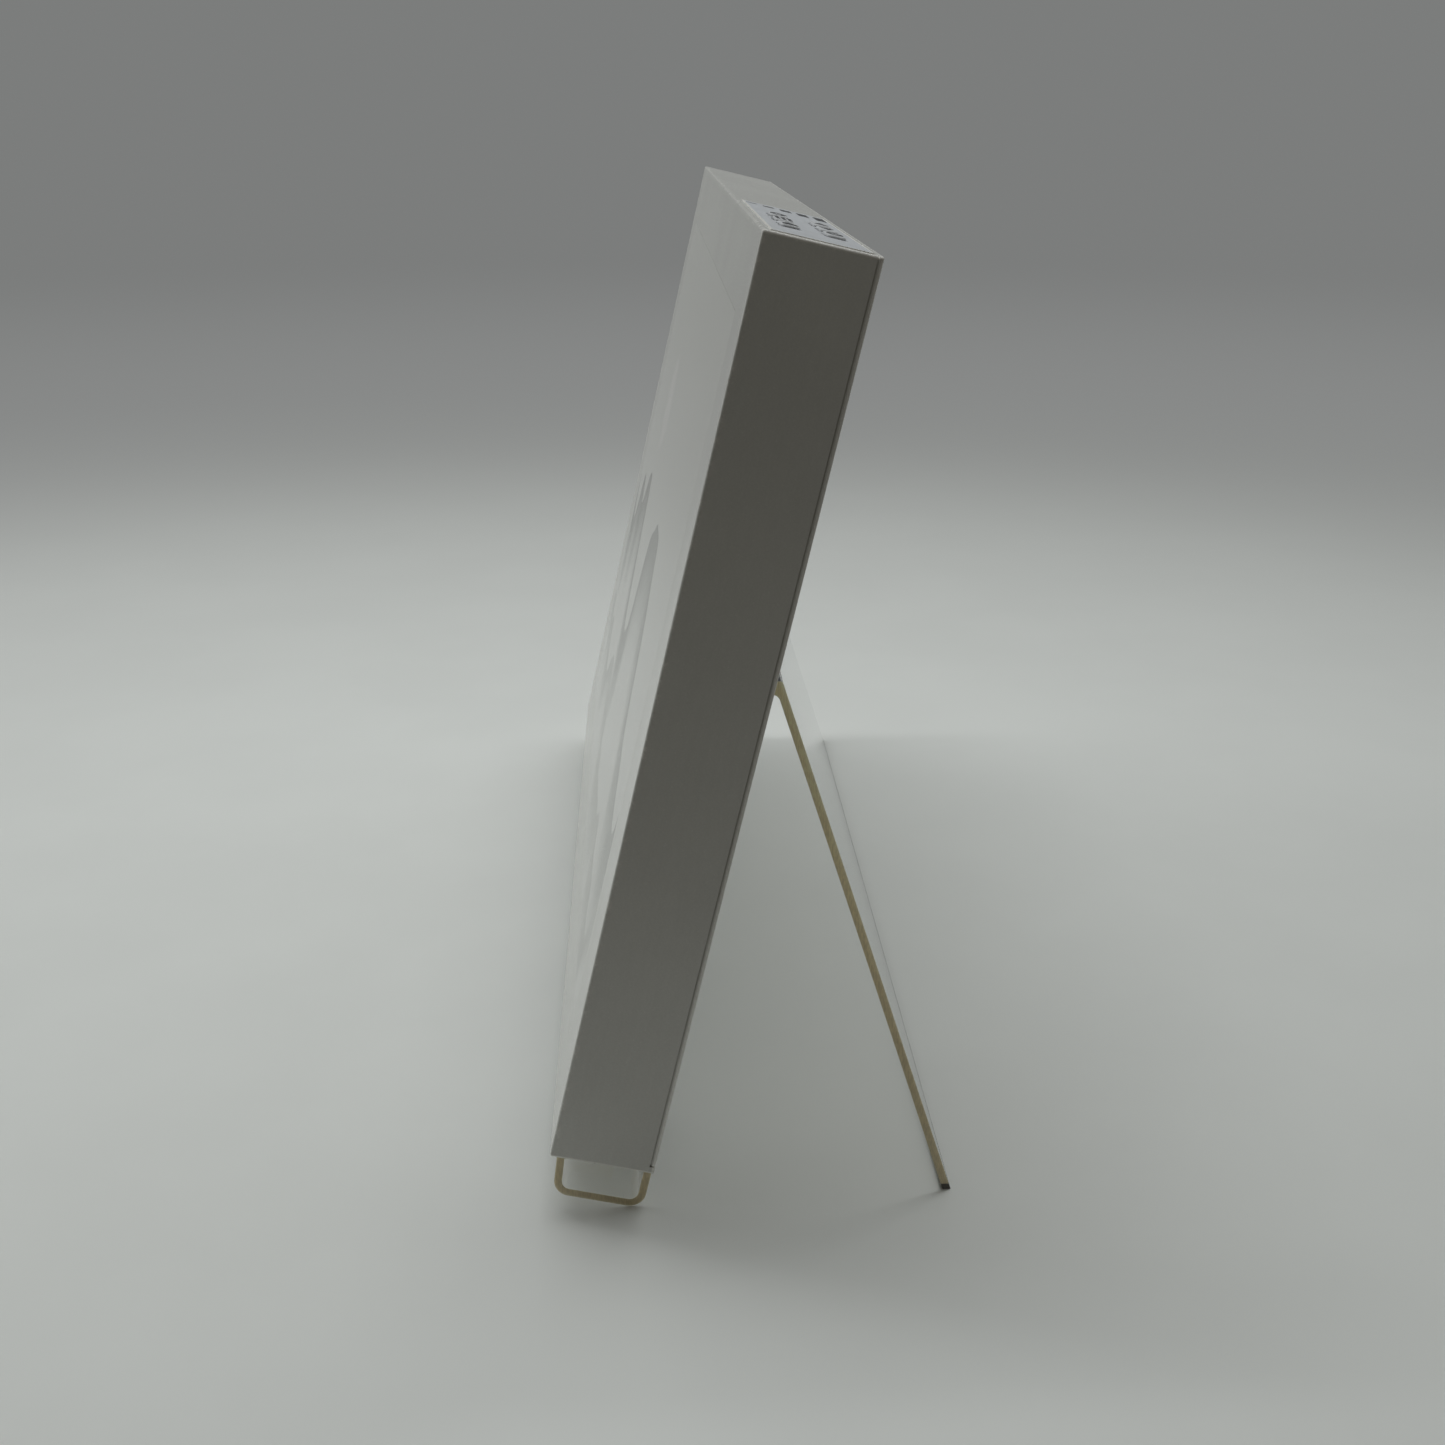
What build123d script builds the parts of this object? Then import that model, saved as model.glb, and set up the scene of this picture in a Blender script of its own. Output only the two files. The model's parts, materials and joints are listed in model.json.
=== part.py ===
"""Digital photo frame that leans back on a clear bent foot and a clear folding leg.

The width lies along X and the screen faces -Y. The foot and the leg stand on Z = 0.
Sizes are in millimetres.
"""

import os
from math import cos, radians, sin, sqrt

from build123d import *

os.makedirs("parts", exist_ok=True)

# Screen and the plain border around it
screen_width = 217.0
screen_height = 136.0
side_border = 21.5
bottom_border = 18.6
top_border = 18.6

# Layers from the front face to the back face
front_wall = 2.0
gasket_thickness = 0.5
cell_thickness = 1.4
diffuser_thickness = 0.5
guide_thickness = 2.0
tray_thickness = 0.8
standoff_height = 2.6
board_thickness = 1.6
rear_room = 7.6
back_thickness = 1.0

# Casing
wall = 2.0
bottom_wall = 4.2
rail_height = 1.5
corner_round = 0.6
edge_round = 0.5
seam_chamfer = 0.3
fit_gap = 0.15

# Screen pieces
lens_lip = 3.5
lens_thickness = 1.0
lens_gap = 0.05
view_gap = 0.5
cell_margin = 6.25
led_band = 3.0
led_count = 24
led_width = 3.0
led_strip = 0.6

# Screws and the bosses that take them
boss_radius = 3.0
boss_gap = 1.0
screw_radius = 1.1
screw_head_radius = 2.1
screw_head_height = 1.2
screw_gap = 0.05
recess_length = 2.2
recess_width = 0.5
recess_depth = 0.6
cover_screw_length = 7.0
tray_screw_length = 4.0
board_screw_length = 3.6
foot_screw_length = 11.2
ear_half_height = 4.0
ear_spacing = 82.0

# Main board and its ports at the -X end
board_width = 98.0
board_height = 46.0
board_drop = 8.8
board_end_gap = 0.6
standoff_radius = 2.4
standoff_inset = 6.0
standoff_end_inset = 34.0
shield_size = 28.0
shield_height = 2.4
shield_skin = 0.3
shield_rise = 20.0
module_size = 14.0
module_height = 2.0
module_inset = 2.0
port_width = 8.9
port_height = 3.2
port_length = 7.4
port_skin = 0.3
port_tongue = 0.7
port_tongue_gap = 1.0
port_back = 1.0
port_inset = 7.0
card_width = 26.0
card_length = 28.0
card_height = 3.0
card_skin = 0.4
card_opening = 24.6
card_slot_depth = 24.0
card_inset = 17.0
plug_gap = 0.4

# Flat cables
flex_thickness = 0.3
flex_bend = 0.8
display_flex_width = 24.0
display_flex_inset = 56.0
flex_rise = 2.0
flex_room = 1.2
key_flex_width = 4.0
key_flex_gap = 0.3
key_flex_inset = 13.0
connector_height = 5.0
connector_depth = 4.0
connector_margin = 2.0
connector_edge = 1.0
speaker_plug_width = 10.0

# Keys on the top face near the +X end
key_length = 9.0
key_width = 3.4
key_corner = 0.8
key_pitch = 12.5
key_row_pitch = 8.0
key_group_inset = 35.0
key_proud = 0.45
key_gap = 0.3
key_flange = 0.9
key_flange_thickness = 0.9
key_play = 0.05
key_travel = 0.35
switch_size = 4.5
switch_height = 2.0
switch_stem = 0.6
switch_stem_radius = 0.9
key_board_thickness = 1.0
key_board_depth = 15.0
key_board_end = 7.0
key_screw_length = 4.0
post_radius = 2.4

# Control strip around the keys
strip_thickness = 0.15
strip_end_inset = 1.2
strip_length = 84.0
strip_front_inset = 1.4
strip_back_inset = 1.6

# Speakers on the back cover
speaker_width = 26.0
speaker_height = 16.0
speaker_depth = 5.0
speaker_inset = 48.0
speaker_rise = 26.0
speaker_ear = 5.0
speaker_ear_thickness = 1.2
speaker_post = 2.4
speaker_screw_length = 3.4
speaker_post_radius = 2.2
grille_radius = 0.8
grille_pitch = 3.2
grille_columns = 6
grille_rows = 4
lead_radius = 0.6
lead_spacing = 3.0
lead_slack = 30.0
vent_length = 14.0
vent_width = 1.6
vent_pitch = 20.0
vent_count = 6
vent_inset = 23.0

# Stand
lean_angle = 13.0
sheet_thickness = 1.5
foot_front_inset = 1.4
foot_back_inset = 0.3
foot_drop = 8.2
foot_toe = 0.75
foot_bend = 1.7
foot_end_inset = 0.8
foot_block_length = 16.0
foot_block_depth = 9.0
foot_block_spacing = 70.0
foot_block_count = 4
leg_open_angle = 31.0
leg_end_inset = 3.6
leg_pad_height = 1.2
leg_crown = 0.6
leg_crown_round = 0.7
barrel_wall = 0.8
barrel_blend = 1.5
hinge_height = 98.5
hinge_sink = 0.3
hinge_pin_radius = 0.6
hinge_run_gap = 0.05
hinge_hold_gap = 0.02
trough_gap = 0.4
trough_wall = 1.0
lug_width = 7.0
lug_spacing = 66.0
lug_count = 4
lug_gap = 0.3
lug_round = 1.9
stop_distance = 2.6
stop_gap = 0.1
pin_end_inset = 4.0

# Overall size of the casing
frame_width = screen_width + 2 * side_border
frame_height = bottom_border + screen_height + top_border
screen_rise = bottom_border + screen_height / 2

# Depth of each layer behind the front face
gasket_depth = front_wall
cell_depth = gasket_depth + gasket_thickness
diffuser_depth = cell_depth + cell_thickness
guide_depth = diffuser_depth + diffuser_thickness
tray_depth = guide_depth + guide_thickness
standoff_depth = tray_depth + tray_thickness
board_depth = standoff_depth + standoff_height
parts_depth = board_depth + board_thickness
shell_depth = parts_depth + rear_room
frame_depth = shell_depth + back_thickness

# Where the stand puts the casing
lean = radians(lean_angle)
leg_tilt = radians(leg_open_angle - lean_angle)
leg_open = radians(leg_open_angle)
foot_round = foot_bend + sheet_thickness
foot_back = frame_depth - foot_back_inset
hinge_depth = frame_depth - hinge_sink
barrel_bore = hinge_pin_radius + hinge_run_gap
barrel_radius = barrel_bore + barrel_wall
leg_face = barrel_bore + sheet_thickness
leg_offset = barrel_bore + sheet_thickness / 2
crown_land = leg_face - sqrt(barrel_radius**2 - leg_crown**2)
crown_round = min(leg_crown_round, crown_land - hinge_run_gap)
trough_half = leg_face + trough_gap
trough_floor = hinge_depth - trough_half
front_z = foot_round + (foot_drop - foot_round) * cos(lean) + (foot_back - foot_round) * sin(lean)
hinge_z = front_z + hinge_height * cos(lean) - hinge_depth * sin(lean)
leg_reach = (hinge_z + leg_offset * sin(leg_tilt)) / cos(leg_tilt)
hinge_run = hinge_height * sin(lean) + hinge_depth * cos(lean)
tip_run = hinge_run + leg_offset * cos(leg_tilt) + leg_reach * sin(leg_tilt)
stand_run = tip_run + sheet_thickness / 2 / cos(leg_tilt)
front_y = -stand_run / 2

# Planes of the leaning casing
up_dir = Vector(0, sin(lean), cos(lean))
back_dir = Vector(0, cos(lean), -sin(lean))
corner = Vector(0, front_y, front_z)
side = Plane(origin=corner, x_dir=back_dir, z_dir=(1, 0, 0))


def layer(depth):
    """Plane at a depth behind the front face: x, height, facing the viewer."""
    return Plane(origin=corner + back_dir * depth, x_dir=(1, 0, 0), z_dir=-back_dir)


def rear(depth):
    """Plane at a depth behind the front face: x, minus height, facing backwards."""
    return Plane(origin=corner + back_dir * depth, x_dir=(1, 0, 0), z_dir=back_dir)


def shelf(height):
    """Plane at a height up the casing: x, depth, facing up."""
    return Plane(origin=corner + up_dir * height, x_dir=(1, 0, 0), z_dir=up_dir)


def underside(height):
    """Plane at a height up the casing: x, minus depth, facing down."""
    return Plane(origin=corner + up_dir * height, x_dir=(1, 0, 0), z_dir=-up_dir)


ON_TOP = (Align.CENTER, Align.CENTER, Align.MIN)
BELOW = (Align.CENTER, Align.CENTER, Align.MAX)


def cross_recess():
    """Cross slot for the driver, cut down from the location."""
    Box(recess_length, recess_width, recess_depth, align=BELOW, mode=Mode.SUBTRACT)
    Box(recess_width, recess_length, recess_depth, align=BELOW, mode=Mode.SUBTRACT)


def flat_screw(length, cone_height):
    """Countersunk screw with its flat top at the location."""
    Cone(screw_radius, screw_head_radius, cone_height, align=BELOW)
    Cylinder(screw_radius, length, align=BELOW)
    cross_recess()


def flat_screw_hole(cone_height):
    """Countersunk hole for such a screw through one sheet."""
    Cone(pilot_radius, screw_head_radius + screw_gap, cone_height, align=BELOW, mode=Mode.SUBTRACT)


def pan_screw(length):
    """Pan-head screw whose head rests on the location."""
    Cylinder(screw_head_radius, screw_head_height, align=ON_TOP)
    Cylinder(screw_radius, length, align=BELOW)
    with Locations((0, 0, screw_head_height)):
        cross_recess()


def finish(builder, label):
    """Name one piece and write its file."""
    builder.part.label = label
    export_step(builder.part, "parts/" + label + ".step")


# Shared positions
boss_x = frame_width / 2 - wall - boss_gap - boss_radius
boss_low = bottom_wall + boss_gap + boss_radius
boss_high = frame_height - wall - boss_gap - boss_radius
boss_middle = hinge_height - trough_half - trough_wall - boss_gap - boss_radius
cover_spots = [(x, s) for x in (-boss_x, boss_x) for s in (boss_low, boss_middle, boss_high)]
ear_rises = (screen_rise - ear_spacing / 2, screen_rise + ear_spacing / 2)
tray_spots = [(x, s) for x in (-boss_x, boss_x) for s in ear_rises]
pilot_radius = screw_radius + screw_gap
panel_width = screen_width + 2 * cell_margin
panel_height = screen_height + 2 * cell_margin
panel_top = screen_rise + panel_height / 2
tray_width = panel_width + 2 * (fit_gap + tray_thickness)
tray_height = panel_height + 2 * (fit_gap + tray_thickness)
tray_top = screen_rise + tray_height / 2

board_left = -frame_width / 2 + wall + board_end_gap
board_right = board_left + board_width
board_top = tray_top - board_drop
board_bottom = board_top - board_height
board_middle = board_bottom + board_height / 2
board_spots = [
    (x, s)
    for x in (board_left + standoff_end_inset, board_right - standoff_inset)
    for s in (board_bottom + standoff_inset, board_top - standoff_inset)
]
port_rise = board_bottom + port_inset
card_rise = board_top - card_inset

key_middle = frame_width / 2 - key_group_inset
key_names = ["power", "menu", "back", "left", "right", "ok"]
key_spots = [
    (key_middle + column * key_pitch, frame_depth / 2 + row * key_row_pitch / 2)
    for row in (-1, 1)
    for column in (-1, 0, 1)
]
key_top = frame_height + strip_thickness + key_proud
ceiling = frame_height - wall
flange_top = ceiling - key_play
flange_bottom = flange_top - key_flange_thickness
stem_top = flange_bottom - key_travel - key_play
key_board_top = stem_top - switch_stem - switch_height
key_board_bottom = key_board_top - key_board_thickness
key_board_length = 2 * (key_pitch + key_length / 2 + key_board_end)
post_reach = key_board_length / 2 - post_radius - fit_gap
post_spots = [(key_middle - post_reach, frame_depth / 2), (key_middle + post_reach, frame_depth / 2)]

foot_block_spots = [
    ((i - (foot_block_count - 1) / 2) * foot_block_spacing, frame_depth / 2)
    for i in range(foot_block_count)
]
lug_spots = [(i - (lug_count - 1) / 2) * lug_spacing for i in range(lug_count)]
speaker_x = frame_width / 2 - speaker_inset
speaker_ear_reach = speaker_width / 2 + speaker_ear / 2

# Front shell: the white casing, closed at the front and open at the back
front_axis = Axis(corner, -back_dir)
with BuildPart() as front_shell:
    with BuildSketch(layer(0)):
        with Locations((0, frame_height / 2)):
            RectangleRounded(frame_width, frame_height, corner_round)
    extrude(amount=-frame_depth)
    fillet(front_shell.faces().sort_by(front_axis)[-1].edges(), edge_round)
    with BuildSketch(layer(shell_depth)):
        with Locations((0, rail_height)):
            Rectangle(frame_width, frame_height, align=(Align.CENTER, Align.MIN))
    extrude(amount=-back_thickness, mode=Mode.SUBTRACT)
    with BuildSketch(layer(front_wall)):
        with Locations((0, bottom_wall)):
            Rectangle(
                frame_width - 2 * wall,
                frame_height - wall - bottom_wall,
                align=(Align.CENTER, Align.MIN),
            )
    extrude(amount=front_wall - shell_depth, mode=Mode.SUBTRACT)
    # Screen opening and the ledge that carries the lens
    with BuildSketch(layer(0)):
        with Locations((0, screen_rise)):
            Rectangle(screen_width + 2 * view_gap, screen_height + 2 * view_gap)
    extrude(amount=-front_wall, mode=Mode.SUBTRACT)
    with BuildSketch(layer(0)):
        with Locations((0, screen_rise)):
            Rectangle(
                screen_width + 2 * (lens_lip + lens_gap),
                screen_height + 2 * (lens_lip + lens_gap),
            )
    extrude(amount=-lens_thickness, mode=Mode.SUBTRACT)
    # Bosses for the back cover and for the backlight tray
    with BuildSketch(layer(front_wall)):
        with Locations(*cover_spots):
            Circle(boss_radius)
    extrude(amount=front_wall - shell_depth)
    with BuildSketch(layer(front_wall)):
        with Locations(*tray_spots):
            Circle(boss_radius)
    extrude(amount=front_wall - tray_depth)
    with BuildSketch(layer(shell_depth)):
        with Locations(*cover_spots):
            Circle(pilot_radius)
    extrude(amount=cover_screw_length, mode=Mode.SUBTRACT)
    with BuildSketch(layer(tray_depth)):
        with Locations(*tray_spots):
            Circle(pilot_radius)
    extrude(amount=tray_screw_length, mode=Mode.SUBTRACT)
    # Key openings and the posts that carry the key board
    with BuildSketch(shelf(frame_height)):
        with Locations(*key_spots):
            RectangleRounded(key_length + 2 * key_gap, key_width + 2 * key_gap, key_corner + key_gap)
    extrude(amount=-wall, mode=Mode.SUBTRACT)
    with BuildSketch(shelf(ceiling)):
        with Locations(*post_spots):
            Circle(post_radius)
    extrude(amount=key_board_top - ceiling)
    with BuildSketch(shelf(key_board_top)):
        with Locations(*post_spots):
            Circle(pilot_radius)
    extrude(amount=ceiling - key_board_top, mode=Mode.SUBTRACT)
    # Power inlet and card openings in the -X end wall
    with BuildSketch(side.offset(-frame_width / 2)):
        with Locations((parts_depth + port_height / 2, port_rise)):
            RectangleRounded(
                port_height + 2 * plug_gap,
                port_width + 2 * plug_gap,
                port_height / 2,
            )
        with Locations((parts_depth + card_height / 2, card_rise)):
            Rectangle(card_height, card_opening + 2 * plug_gap)
    extrude(amount=wall, mode=Mode.SUBTRACT)
    # Pilot holes for the foot screws
    with BuildSketch(shelf(0)):
        with Locations(*foot_block_spots):
            Circle(pilot_radius)
    extrude(amount=foot_screw_length - foot_drop + screw_gap, mode=Mode.SUBTRACT)
finish(front_shell, "front_shell")

# Screen lens: clear plate flush with the front face
with BuildPart() as screen_lens:
    with BuildSketch(layer(0)):
        with Locations((0, screen_rise)):
            Rectangle(screen_width + 2 * lens_lip, screen_height + 2 * lens_lip)
    extrude(amount=-lens_thickness)
finish(screen_lens, "screen_lens")

# Screen gasket: foam ring that keeps dust out of the screen opening
with BuildPart() as screen_gasket:
    with BuildSketch(layer(gasket_depth)):
        with Locations((0, screen_rise)):
            Rectangle(panel_width, panel_height)
            Rectangle(
                screen_width + 2 * view_gap,
                screen_height + 2 * view_gap,
                mode=Mode.SUBTRACT,
            )
    extrude(amount=-gasket_thickness)
finish(screen_gasket, "screen_gasket")

# Liquid-crystal cell
with BuildPart() as lcd_cell:
    with BuildSketch(layer(cell_depth)):
        with Locations((0, screen_rise)):
            Rectangle(panel_width, panel_height)
    extrude(amount=-cell_thickness)
finish(lcd_cell, "lcd_cell")

# Diffuser sheet
with BuildPart() as diffuser_sheet:
    with BuildSketch(layer(diffuser_depth)):
        with Locations((0, screen_rise)):
            Rectangle(panel_width, panel_height)
    extrude(amount=-diffuser_thickness)
finish(diffuser_sheet, "diffuser_sheet")

# Light guide, shorter at the bottom where the LED bar sits
with BuildPart() as light_guide:
    with BuildSketch(layer(guide_depth)):
        with Locations((0, panel_top)):
            Rectangle(panel_width, panel_height - led_band, align=(Align.CENTER, Align.MAX))
    extrude(amount=-guide_thickness)
finish(light_guide, "light_guide")

# LED bar: a strip on the tray wall with a row of LEDs against the light guide
led_floor = panel_top - panel_height
with BuildPart() as led_bar:
    with BuildSketch(layer(guide_depth)):
        with Locations((0, led_floor)):
            Rectangle(panel_width, led_strip, align=(Align.CENTER, Align.MIN))
        with Locations((0, led_floor + led_band / 2)):
            with GridLocations(panel_width / led_count, led_band, led_count, 1):
                Rectangle(led_width, led_band)
    extrude(amount=-guide_thickness)
finish(led_bar, "led_bar")

# Backlight tray: bent metal tray with four ears
flex_x = board_left + display_flex_inset
with BuildPart() as backlight_tray:
    with BuildSketch(layer(gasket_depth)):
        with Locations((0, screen_rise)):
            Rectangle(tray_width, tray_height)
    extrude(amount=gasket_depth - standoff_depth)
    with BuildSketch(layer(gasket_depth)):
        with Locations((0, screen_rise)):
            Rectangle(panel_width + 2 * fit_gap, panel_height + 2 * fit_gap)
    extrude(amount=gasket_depth - tray_depth, mode=Mode.SUBTRACT)
    with BuildSketch(layer(tray_depth)):
        with Locations(*[(0, rise) for rise in ear_rises]):
            Rectangle(2 * (boss_x + boss_radius), 2 * ear_half_height)
    extrude(amount=-tray_thickness)
    with BuildSketch(layer(tray_depth)):
        with Locations(*tray_spots):
            Circle(pilot_radius)
    extrude(amount=-tray_thickness, mode=Mode.SUBTRACT)
    # Notch in the upper wall for the display flex
    with BuildSketch(layer(gasket_depth)):
        with Locations((flex_x, panel_top)):
            Rectangle(
                display_flex_width + 2 * fit_gap,
                2 * tray_thickness,
                align=(Align.CENTER, Align.MIN),
            )
    extrude(amount=gasket_depth - diffuser_depth, mode=Mode.SUBTRACT)
finish(backlight_tray, "backlight_tray")

# Tray screws
with BuildPart(rear(standoff_depth)) as tray_screws:
    with Locations(*[(x, -s) for x, s in tray_spots]):
        pan_screw(tray_screw_length)
finish(tray_screws, "tray_screws")

# Standoffs pressed onto the tray
with BuildPart() as board_standoffs:
    with BuildSketch(layer(standoff_depth)):
        with Locations(*board_spots):
            Circle(standoff_radius)
            Circle(pilot_radius, mode=Mode.SUBTRACT)
    extrude(amount=-standoff_height)
finish(board_standoffs, "board_standoffs")

# Main board
with BuildPart() as main_board:
    with BuildSketch(layer(board_depth)):
        with Locations((board_left, board_bottom)):
            Rectangle(board_width, board_height, align=(Align.MIN, Align.MIN))
        with Locations(*board_spots):
            Circle(pilot_radius, mode=Mode.SUBTRACT)
    extrude(amount=-board_thickness)
finish(main_board, "main_board")

# Board screws
with BuildPart(rear(parts_depth)) as board_screws:
    with Locations(*[(x, -s) for x, s in board_spots]):
        pan_screw(board_screw_length)
finish(board_screws, "board_screws")

# Shield can over the processor, open towards the board
shield_spot = (flex_x, board_bottom + shield_rise)
with BuildPart() as shield_can:
    with BuildSketch(layer(parts_depth)):
        with Locations(shield_spot):
            Rectangle(shield_size, shield_size)
    extrude(amount=-shield_height)
    with BuildSketch(layer(parts_depth)):
        with Locations(shield_spot):
            Rectangle(shield_size - 2 * shield_skin, shield_size - 2 * shield_skin)
    extrude(amount=shield_skin - shield_height, mode=Mode.SUBTRACT)
finish(shield_can, "shield_can")

# Wireless module with its printed antenna
with BuildPart() as wifi_module:
    with BuildSketch(layer(parts_depth)):
        with Locations((board_right - module_inset, board_middle)):
            Rectangle(module_size, module_size, align=(Align.MAX, Align.CENTER))
    extrude(amount=-module_height)
finish(wifi_module, "wifi_module")

# Sockets on the board for the two flat cables and the speaker leads
connector_top = board_top - connector_edge
key_flex_x = board_right - key_flex_inset
with BuildPart() as board_connectors:
    with BuildSketch(layer(parts_depth)):
        with Locations((flex_x, connector_top)):
            Rectangle(
                display_flex_width + 2 * connector_margin,
                connector_height,
                align=(Align.CENTER, Align.MAX),
            )
        with Locations((key_flex_x, connector_top)):
            Rectangle(
                key_flex_width + 2 * connector_margin,
                connector_height,
                align=(Align.CENTER, Align.MAX),
            )
        with Locations((flex_x, board_bottom + connector_edge)):
            Rectangle(speaker_plug_width, connector_height, align=(Align.CENTER, Align.MIN))
    extrude(amount=-connector_depth)
finish(board_connectors, "board_connectors")

# Power inlet: socket shell with its tongue
with BuildPart() as usb_port:
    port_middle = (parts_depth + port_height / 2, port_rise)
    with BuildSketch(side.offset(-frame_width / 2 + wall + fit_gap)):
        with Locations(port_middle):
            RectangleRounded(port_height, port_width, port_height / 2 - port_skin)
    extrude(amount=port_length)
    with BuildSketch(side.offset(-frame_width / 2 + wall + fit_gap)):
        with Locations(port_middle):
            RectangleRounded(
                port_height - 2 * port_skin,
                port_width - 2 * port_skin,
                port_height / 2 - 2 * port_skin,
            )
    extrude(amount=port_length - port_back, mode=Mode.SUBTRACT)
    with BuildSketch(side.offset(-frame_width / 2 + wall + fit_gap + port_tongue_gap)):
        with Locations(port_middle):
            Rectangle(port_tongue, port_width - 2 * port_height / 2)
    extrude(amount=port_length - port_tongue_gap)
finish(usb_port, "usb_port")

# Card slot
with BuildPart() as card_slot:
    with BuildSketch(side.offset(board_left)):
        with Locations((parts_depth + card_height / 2, card_rise)):
            Rectangle(card_height, card_width)
    extrude(amount=card_length)
    with BuildSketch(side.offset(board_left)):
        with Locations((parts_depth + card_height / 2, card_rise)):
            Rectangle(card_height - 2 * card_skin, card_opening)
    extrude(amount=card_slot_depth, mode=Mode.SUBTRACT)
finish(card_slot, "card_slot")

# Display flex: from the upper edge of the cell over the tray to its socket
flex_start = cell_depth + cell_thickness / 2
flex_end = parts_depth + flex_room
with BuildPart() as display_flex:
    with BuildSketch(side.offset(flex_x)):
        with BuildLine():
            FilletPolyline(
                (flex_start, panel_top),
                (flex_start, tray_top + flex_rise),
                (flex_end, tray_top + flex_rise),
                (flex_end, connector_top),
                radius=flex_bend,
            )
        trace(line_width=flex_thickness)
    extrude(amount=display_flex_width / 2, both=True)
finish(display_flex, "display_flex")

# Key board under the top wall
key_board_left = key_middle - key_board_length / 2
with BuildPart() as key_board:
    with BuildSketch(shelf(key_board_bottom)):
        with Locations((key_middle, frame_depth / 2)):
            Rectangle(key_board_length, key_board_depth)
        with Locations(*post_spots):
            Circle(pilot_radius, mode=Mode.SUBTRACT)
    extrude(amount=key_board_thickness)
finish(key_board, "key_board")

# One small push switch under each key
with BuildPart() as key_switches:
    with BuildSketch(shelf(key_board_top)):
        with Locations(*key_spots):
            Rectangle(switch_size, switch_size)
    extrude(amount=switch_height)
    with BuildSketch(shelf(key_board_top + switch_height)):
        with Locations(*key_spots):
            Circle(switch_stem_radius)
    extrude(amount=switch_stem)
finish(key_switches, "key_switches")

# Key-board screws, driven upwards into the posts
with BuildPart(underside(key_board_bottom)) as key_board_screws:
    with Locations(*[(x, -t) for x, t in post_spots]):
        pan_screw(key_screw_length)
finish(key_board_screws, "key_board_screws")

# Key flex: from the end of the key board along the top and down to its socket
key_flex_rise = key_board_bottom + key_board_thickness / 2
with BuildPart() as key_flex:
    with BuildSketch(layer(parts_depth + key_flex_gap)):
        with BuildLine():
            FilletPolyline(
                (key_board_left, key_flex_rise),
                (key_flex_x, key_flex_rise),
                (key_flex_x, connector_top),
                radius=flex_bend,
            )
        trace(line_width=flex_thickness)
    extrude(amount=-key_flex_width)
finish(key_flex, "key_flex")

# Control strip: thin overlay around the keys on the top face
with BuildPart() as control_strip:
    with BuildSketch(shelf(frame_height)):
        with Locations((frame_width / 2 - strip_end_inset, strip_front_inset)):
            Rectangle(
                strip_length,
                frame_depth - strip_front_inset - strip_back_inset,
                align=(Align.MAX, Align.MIN),
            )
        with Locations(*key_spots):
            RectangleRounded(
                key_length + 2 * key_gap,
                key_width + 2 * key_gap,
                key_corner + key_gap,
                mode=Mode.SUBTRACT,
            )
    extrude(amount=strip_thickness)
finish(control_strip, "control_strip")

# Keys: each one slides in its opening and rests its flange under the top wall
up_axis = Axis(corner, up_dir)
for key_name, key_spot in zip(key_names, key_spots):
    with BuildPart() as key:
        with BuildSketch(shelf(flange_top)):
            with Locations(key_spot):
                RectangleRounded(key_length, key_width, key_corner)
        extrude(amount=key_top - flange_top)
        fillet(key.faces().sort_by(up_axis)[-1].edges(), key_corner / 2)
        with BuildSketch(shelf(flange_bottom)):
            with Locations(key_spot):
                Rectangle(key_length + 2 * key_flange, key_width + 2 * key_flange)
        extrude(amount=key_flange_thickness)
    finish(key, "key_" + key_name)

# Speakers that sound through the back cover
speaker_ear_depth = shell_depth - speaker_post - speaker_ear_thickness
speaker_posts = [
    (hand * speaker_x + end * speaker_ear_reach, speaker_rise)
    for hand in (-1, 1)
    for end in (-1, 1)
]
for hand, speaker_name in ((-1, "speaker_left"), (1, "speaker_right")):
    with BuildPart() as speaker:
        with BuildSketch(layer(shell_depth)):
            with Locations((hand * speaker_x, speaker_rise)):
                RectangleRounded(speaker_width, speaker_height, speaker_ear / 2)
        extrude(amount=speaker_depth)
        with BuildSketch(layer(speaker_ear_depth)):
            with Locations((hand * speaker_x, speaker_rise)):
                SlotOverall(speaker_width + 2 * speaker_ear, speaker_ear)
            with Locations(*speaker_posts):
                Circle(pilot_radius, mode=Mode.SUBTRACT)
        extrude(amount=-speaker_ear_thickness)
    finish(speaker, speaker_name)

# Speaker screws, driven backwards into the posts of the back cover
with BuildPart(layer(speaker_ear_depth)) as speaker_screws:
    with Locations(*speaker_posts):
        pan_screw(speaker_screw_length)
finish(speaker_screws, "speaker_screws")

# Speaker leads up to their socket on the board
lead_depth = shell_depth - speaker_depth / 2
socket_depth = parts_depth + connector_depth / 2
lead_floor = speaker_rise + speaker_height / 2
lead_top = board_bottom + connector_edge
with BuildPart() as speaker_leads:
    for hand in (-1, 1):
        with BuildLine(layer(0)) as lead:
            Bezier(
                (hand * speaker_x, lead_floor, -lead_depth),
                (hand * speaker_x, lead_floor + lead_slack, -lead_depth),
                (flex_x + hand * lead_spacing / 2, lead_top - lead_slack, -socket_depth),
                (flex_x + hand * lead_spacing / 2, lead_top, -socket_depth),
            )
        with BuildSketch(Plane(origin=lead.line @ 0, z_dir=lead.line % 0)):
            Circle(lead_radius)
        sweep(path=lead.line)
finish(speaker_leads, "speaker_leads")

# Leg geometry seen from the end: out is square to the leg, along runs down it
leg_half = frame_width / 2 - leg_end_inset
notch_half = lug_width / 2 + lug_gap
hinge_point = (hinge_depth, hinge_height)


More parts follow.
